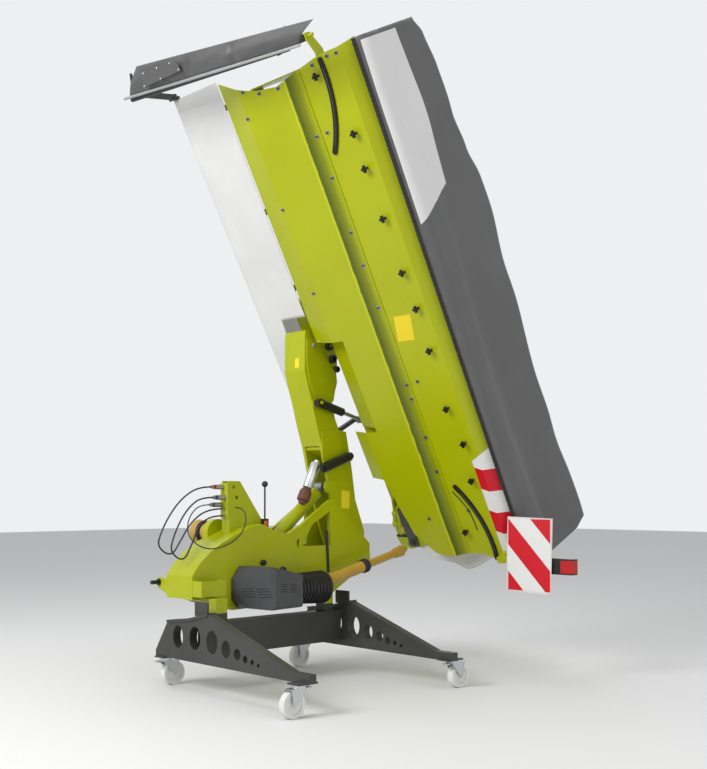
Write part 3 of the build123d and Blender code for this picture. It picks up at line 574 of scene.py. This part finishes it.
def tube(name, places, radius, material, body, order=3):
    line = bpy.data.curves.new(name, "CURVE")
    line.dimensions = "3D"
    line.bevel_depth = radius
    line.bevel_resolution = 4
    line.use_fill_caps = True
    spline = line.splines.new("NURBS")
    spline.points.add(len(places) - 1)
    for point, place in zip(spline.points, places):
        point.co = (*place, 1)
    spline.order_u = min(order, len(places))
    spline.use_endpoint_u = True
    made = bpy.data.objects.new(name, line)
    bpy.context.collection.objects.link(made)
    line.materials.append(material)
    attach(made, body)
    return made


def strip(name, section, start, end, steps, material, body, wave=0.0):
    # section is (across, above) round the strip; it runs along the hood, every second step raised by wave
    points, faces = [], []
    for i in range(steps):
        along = start + (end - start) * i / (steps - 1)
        points += [deckPoint(along, across, above + wave * (i % 2)) for across, above in section]
    count = len(section)
    for i in range(steps - 1):
        here, there = i * count, (i + 1) * count
        faces += [(here + k, there + k, there + (k + 1) % count, here + (k + 1) % count)
                  for k in range(count)]
    faces += [tuple(range(count)), tuple(reversed(range((steps - 1) * count, steps * count)))]
    return meshPiece(name, points, faces, material, body, False)


# The ribbed strip that clamps the rear curtain.
strip("curtainClamp", [(-752, -86), (-768, -97), (-772, -91), (-754, -79)], -1860, 1738, 240,
      blackRubber, "mower", 2.2)

# Outer guard: bright pipe along its bar side and the riveted patch near its free corner.
guardTrim = {"pipe": [(1952, 1092, 236), (1890, 380, 236), (1803, -650, 236)],
             "patch": [(1962, 812, 262), (2050, 774, 262), (2034, 452, 262), (1998, 398, 262),
                       (1956, 392, 262)],
             "rivets": [(2040, 762, 265), (2032, 610, 265), (2024, 470, 265), (1966, 800, 265),
                        (1964, 610, 265), (1966, 408, 265)]}
tube("guardPipe", [deckPoint(*place) for place in guardTrim["pipe"]], 0.0095, zinc, "outer_guard", 2)
panel("guardPatch", [deckPoint(*corner) for corner in guardTrim["patch"]], aboveDir, 0.003, guardCloth,
      "outer_guard", "grey_cloth")
boltField("patchRivets", [deckPoint(*seat) for seat in guardTrim["rivets"]], aboveDir, 0.006, "outer_guard",
          zinc, zinc)

# Hydraulic couplings: coloured grips on the three long plugs.
for name, across, up, grip in (("gripRed", 626, 1322, redLens), ("gripBlue", 605, 1250, gripBlue),
                               ("gripGreen", 640, 1200, gripGreen)):
    lathe(name, site(-292, across, up), Vector((1, 0, 0)),
          [(0.0095, 0), (0.0135, 0.004), (0.0145, 0.03), (0.0125, 0.036), (0.0145, 0.042), (0.0145, 0.062),
           (0.0105, 0.066)], grip, "base")

# Input shaft guard, drive shaft and lever.
inputAxis = Vector((0, 1, 0))
lathe("inputRing", site(-160, 862, 1005), inputAxis,
      [(0.062, 0), (0.074, 0.002), (0.08, 0.007), (0.076, 0.012), (0.082, 0.018), (0.084, 0.026),
       (0.078, 0.031), (0.07, 0.033)], blackRubber, "base")
lathe("inputCollar", site(-160, 791, 1005), inputAxis,
      [(0.07, 0), (0.07, 0.008), (0.052, 0.014), (0.05, 0.05), (0.057, 0.053)], yellowPlastic, "base")
shaftStart = site(320, 300, 620)
shaftWay = (deckPoint(-1740, 300, 0) - shaftStart).normalized()
lathe("tubeRing", shaftStart + shaftWay * 0.512, shaftWay,
      [(0.043, 0), (0.05, 0.004), (0.052, 0.012), (0.048, 0.018), (0.052, 0.026), (0.052, 0.044),
       (0.049, 0.05), (0.04, 0.052)], blackRubber, "pto_outer")
lathe("leverCollar", site(119, 562, 1030), Vector((0, 0, 1)),
      [(0.024, 0), (0.026, 0.012), (0.02, 0.02), (0.022, 0.045), (0.016, 0.056)], orangePlastic, "base")

# Drive cover: slits on its near face and on its slanted left face, and the two latches above it.
slits = {"rows": 4, "columns": 2, "pitch": 17, "gauge": 0.002}
outward = Vector((0, -1, 0))
slant = (site(-118, 216, 0) - site(-250, 430, 0)).normalized()
slantOut = Vector((slant.y, -slant.x, 0))
for row in range(slits["rows"]):
    for column in range(slits["columns"]):
        left = -36 + column * 78
        up = 672 - row * slits["pitch"] - column * 6
        panel(f"louvreNear{row}{column}",
              [site(left, 200, up), site(left + 58, 200, up - 4), site(left + 60, 200, up - 9),
               site(left + 4, 200, up - 6)], outward, slits["gauge"], blackPlastic, "base", "black")
        start = site(-250, 430, 640 - row * 18) + slant * (0.045 + column * 0.105 + row * 0.008)
        panel(f"louvreSide{row}{column}",
              [start, start + slant * 0.085 + Vector((0, 0, 0.006)), start + slant * 0.087,
               start + slant * 0.004 - Vector((0, 0, 0.007))], slantOut, slits["gauge"], blackPlastic, "base",
              "black")
for name, x, up in (("coverLatchLeft", 22, 800), ("coverLatchRight", 200, 745)):
    lathe(name, site(x, 474, up), outward, [(0.02, 0), (0.02, 0.024), (0.012, 0.028), (0.012, 0.038)],
          blackPlastic, "base")
print("headstock trim done")

# Tray at the deck's lower end: it folds down from the gearbox guard and carries a rubber edge.
tray = {"far": -1800, "near": -1700, "left": 455, "bend": 372, "right": 60, "gauge": 0.006,
        # above the deck: at its left edge, its bend, its right edge and its foot
        "leftUp": -112, "bendUp": -108, "rightUp": -128, "foot": -150}
trayLeft = deckPoint(tray["near"], tray["left"], tray["leftUp"])
trayBend = deckPoint(tray["near"], tray["bend"], tray["bendUp"])
trayRight = deckPoint(tray["near"], tray["right"], tray["rightUp"])
trayFar = deckPoint(tray["far"], tray["bend"] - 30, tray["bendUp"])
panel("endTray", [trayLeft, trayBend, trayFar,
                  deckPoint(tray["far"] + 20, tray["left"] - 20, tray["leftUp"])],
      aboveDir, tray["gauge"], lime, "mower", "lime")
panel("endTraySide", [trayBend, trayRight,
                      deckPoint(tray["far"] + 60, tray["right"], tray["rightUp"]), trayFar],
      aboveDir, tray["gauge"], lime, "mower", "lime")
panel("trayFloor", [trayLeft, trayBend, trayRight, deckPoint(tray["near"], tray["right"], tray["foot"]),
                    deckPoint(tray["near"], tray["left"], tray["foot"])],
      -alongDir, tray["gauge"], lime, "mower", "lime")
sealSeats = ((tray["left"], -116), (tray["bend"], -112), (tray["right"], -130))
tube("traySeal", [deckPoint(tray["near"] + 8, across, above) for across, above in sealSeats], 0.008,
     blackRubber, "mower", 2)

# Linkage above the tray: start, middle and end of each link (along, across) and its radius.
linkage = [((-1262, 330), (-1480, 400), (-1640, 430), 0.013),
           ((-1290, 300), (-1470, 330), (-1660, 300), 0.012),
           ((-1470, 330), (-1560, 380), (-1680, 400), 0.022)]
for place, (start, middle, end, size) in enumerate(linkage):
    tube(f"trayLink{place}", [deckPoint(*start, -126), deckPoint(*middle, -120), deckPoint(*end, -132)],
         size, lime, "mower")
panel("linkPlate", [deckPoint(s, y, -130) for s, y in ((-1420, 330), (-1470, 410), (-1560, 450), (-1690, 455),
                                                       (-1690, 300), (-1560, 280))],
      aboveDir, 0.008, limeGrooved, "mower", "lime", 0.002)
for place, (s, y, size) in enumerate(((-1500, 390, 0.03), (-1590, 420, 0.034), (-1640, 360, 0.03),
                                      (-1560, 340, 0.024))):
    lathe(f"trayPin{place}", deckPoint(s, y, -122), aboveDir,
          [(size, 0), (size, 0.014), (size * 0.7, 0.018), (size * 0.5, 0.026)], lime, "mower", 24)

# Inner cloth: hangs below the deck's lower end behind the hood, crumpled where it is folded in.
inner = {"columns": 40, "rows": 24, "gauge": 0.002}


def hangInner():
    points = []
    for i in range(inner["columns"]):
        run = i / (inner["columns"] - 1)
        across = 330 - 760 * run
        for j in range(inner["rows"]):
            down = j / (inner["rows"] - 1)
            depth = 100 + 170 * math.exp(-((run - 0.66) / 0.34) ** 2)
            crumple = (26 * noise.noise(Vector((run * 4.2, down * 1.6, 8.1)))
                       + 12 * math.sin(run * 15 + down * 3))
            points.append(deckPoint(-1690 - depth * down, across + 16 * down * math.sin(run * 11),
                                    -130 + 36 * down * math.sin(run * 5) + crumple * down))
    return points


innerCloth = meshPiece("innerCloth", hangInner(), gridFaces(inner["columns"], inner["rows"]), apronCloth,
                       "mower")
thicken(innerCloth, inner["gauge"])

# Thin second arc beside the lower slotted arm, and the dark slots of both arms.
deckArms = {"thinArc": [(-1268, -330), (-1360, -400), (-1470, -438), (-1580, -440)],
            # start, middle and end of each slot
            "slots": [((1698, -501), (1440, -486), (1166, -362)),
                      ((-1230, -377), (-1530, -520), (-1803, -534))]}
tube("lowerArc", [deckPoint(s, y, -44) for s, y in deckArms["thinArc"]], 0.004, blackRubber, "mower")


def arcThrough(first, middle, last, count):
    # points on the circle through three places of the deck
    (ax, ay), (bx, by), (cx, cy) = first, middle, last
    twice = 2 * (ax * (by - cy) + bx * (cy - ay) + cx * (ay - by))
    a2, b2, c2 = ax * ax + ay * ay, bx * bx + by * by, cx * cx + cy * cy
    mx = (a2 * (by - cy) + b2 * (cy - ay) + c2 * (ay - by)) / twice
    my = (a2 * (cx - bx) + b2 * (ax - cx) + c2 * (bx - ax)) / twice
    start, end = math.atan2(ay - my, ax - mx), math.atan2(cy - my, cx - mx)
    sweep = (end - start + math.pi) % (2 * math.pi) - math.pi
    size = math.dist(first, (mx, my))
    turns = [start + sweep * k / (count - 1) for k in range(count)]
    return [(mx + size * math.cos(turn), my + size * math.sin(turn)) for turn in turns]


for place, seats in enumerate(deckArms["slots"]):
    tube(f"armSlot{place}", [deckPoint(s, y, -35) for s, y in arcThrough(*seats, 13)[1:-1]], 0.0035, darkBolt,
         "mower")

# Blank labels of the boom.
labels = {"gauge": 0.0008, "edge": 0.0002,
          "low": [(800, 1166), (884, 1166), (888, 1296), (804, 1304)],
          "high": [(562, 2192), (606, 2192), (606, 2258), (562, 2262)]}
panel("boomLabelLow", [site(x, 499.6, z) for x, z in labels["low"]], outward, labels["gauge"], labelYellow,
      "boom", None, labels["edge"])
panel("boomLabelHigh", [site(438.4, y, z) for y, z in labels["high"]], Vector((-1, 0, 0)), labels["gauge"],
      labelYellow, "boom", None, labels["edge"])

# Scalloped lug plate and step plate on the boom's rear face, with hose clamps and pins.
boomFace = 500
boomPlates = {"lug": [(452, 2395), (520, 2402), (590, 2360), (612, 2290), (655, 2262), (690, 2215),
                      (742, 2180), (752, 2100), (730, 2030), (716, 1960), (640, 1925), (560, 1930),
                      (478, 2080), (452, 2240)],
              "step": [(600, 1735), (760, 1752), (800, 1700), (822, 1500), (838, 1462), (640, 1424),
                       (606, 1560)]}
panel("lugPlate", [site(x, boomFace, z) for x, z in boomPlates["lug"]], outward, 0.009, lime, "boom", "lime",
      0.002)
for place, (x, z, size) in enumerate(((668, 2362, 0.034), (704, 2268, 0.03), (742, 2196, 0.024))):
    lathe(f"hoseClamp{place}", site(x, boomFace, z), outward,
          [(size, 0), (size, 0.026), (size * 0.82, 0.031), (size * 0.45, 0.031), (size * 0.42, 0.012)],
          blackRubber, "boom", 28)
lathe("lugPin", site(512, 491, 2352), outward, [(0.017, 0), (0.017, 0.01), (0.013, 0.014)], zinc, "boom",
      6)
lathe("headPin", site(700.6, boomFace, 2384.5), outward,
      [(0.062, 0), (0.062, 0.007), (0.046, 0.009), (0.044, 0.022), (0.038, 0.026)], lime, "boom")
panel("boomStep", [site(x, boomFace, z) for x, z in boomPlates["step"]], outward, 0.007, lime, "boom", "lime",
      0.0015)

# Small ram beside the boom, with its rusty brown cap.
ramHead = site(600, 545, 1518)
ramWay = (site(437, 560, 1180) - site(593, 560, 1502)).normalized()
lathe("sideRam", ramHead, ramWay,
      [(0.02, 0), (0.02, 0.02), (0.036, 0.024), (0.038, 0.03), (0.038, 0.215), (0.034, 0.222), (0.02, 0.224)],
      zinc, "boom")
lathe("sideRamCap", ramHead + ramWay * 0.222, ramWay,
      [(0.02, 0), (0.03, 0.004), (0.044, 0.03), (0.046, 0.036), (0.046, 0.1), (0.03, 0.112), (0.026, 0.125),
       (0.02, 0.128)], rustBrown, "boom")

# Black strap that hangs before the headstock.
tube("boomStrap", [site(622, 468, 1010), site(626, 464, 900), site(640, 468, 705)], 0.011, blackRubber,
     "base")
print("deck and boom trim done")

# Floor, light and camera.
floorMesh = bpy.data.meshes.new("floor")
reach = 30
floorMesh.from_pydata([(-reach, -reach, 0), (reach, -reach, 0), (reach, reach, 0), (-reach, reach, 0)], [],
                      [(0, 1, 2, 3)])
floor = bpy.data.objects.new("floor", floorMesh)
bpy.context.collection.objects.link(floor)
floorPaint = Paint("floorPaint", Roughness=0.7)
floorPaint.set("Base Color", colour(226, 226, 225))
floorMesh.materials.append(floorPaint.material)

world = bpy.data.worlds.new("studio")
bpy.context.scene.world = world
world.use_nodes = True
sky = world.node_tree
background = sky.nodes["Background"]
background.inputs["Color"].default_value = (0.93, 0.94, 0.96, 1)
# brighter where it is seen or mirrored than where it lights
worldStrength = {"lighting": 0.56, "seen": 0.92}
rays = sky.nodes.new("ShaderNodeLightPath")
lift = sky.nodes.new("ShaderNodeMapRange")
seen = rays.outputs["Is Camera Ray"]
for other in ("Is Glossy Ray", "Is Transmission Ray"):
    either = sky.nodes.new("ShaderNodeMath")
    either.operation = "MAXIMUM"
    sky.links.new(seen, either.inputs[0])
    sky.links.new(rays.outputs[other], either.inputs[1])
    seen = either.outputs[0]
sky.links.new(seen, lift.inputs["Value"])
lift.inputs["To Min"].default_value = worldStrength["lighting"]
lift.inputs["To Max"].default_value = worldStrength["seen"]
sky.links.new(lift.outputs[0], background.inputs["Strength"])


def lamp(name, place, aim, size, power):
    light = bpy.data.lights.new(name, "AREA")
    light.size = size
    light.energy = power
    made = bpy.data.objects.new(name, light)
    bpy.context.collection.objects.link(made)
    made.location = place
    made.rotation_euler = (Vector(aim) - Vector(place)).to_track_quat("-Z", "Y").to_euler()


lamp("keyLight", (-7.5, 0.5, 5.5), (0, 0, 1.8), 3.2, 430)
lamp("topLight", (-0.5, 0.0, 8.5), (0, 0, 1.5), 3.5, 180)
lamp("fillLight", (-1.5, -8.0, 3.5), (0.3, 0, 1.5), 5.0, 90)

photoCamera = {"place": (-4.729 - 0.584755, -5.328 + 0.096885, 1.26), "turn": (90, 0, -44.15),
               "lens": 50.56, "shift": 0.145}
view = bpy.data.cameras.new("camera")
view.lens = photoCamera["lens"]
view.sensor_width = 36
view.shift_y = photoCamera["shift"]
camera = bpy.data.objects.new("camera", view)
camera.location = photoCamera["place"]
camera.rotation_euler = [math.radians(angle) for angle in photoCamera["turn"]]
bpy.context.collection.objects.link(camera)
bpy.context.scene.camera = camera
bpy.context.scene.view_settings.view_transform = "Standard"
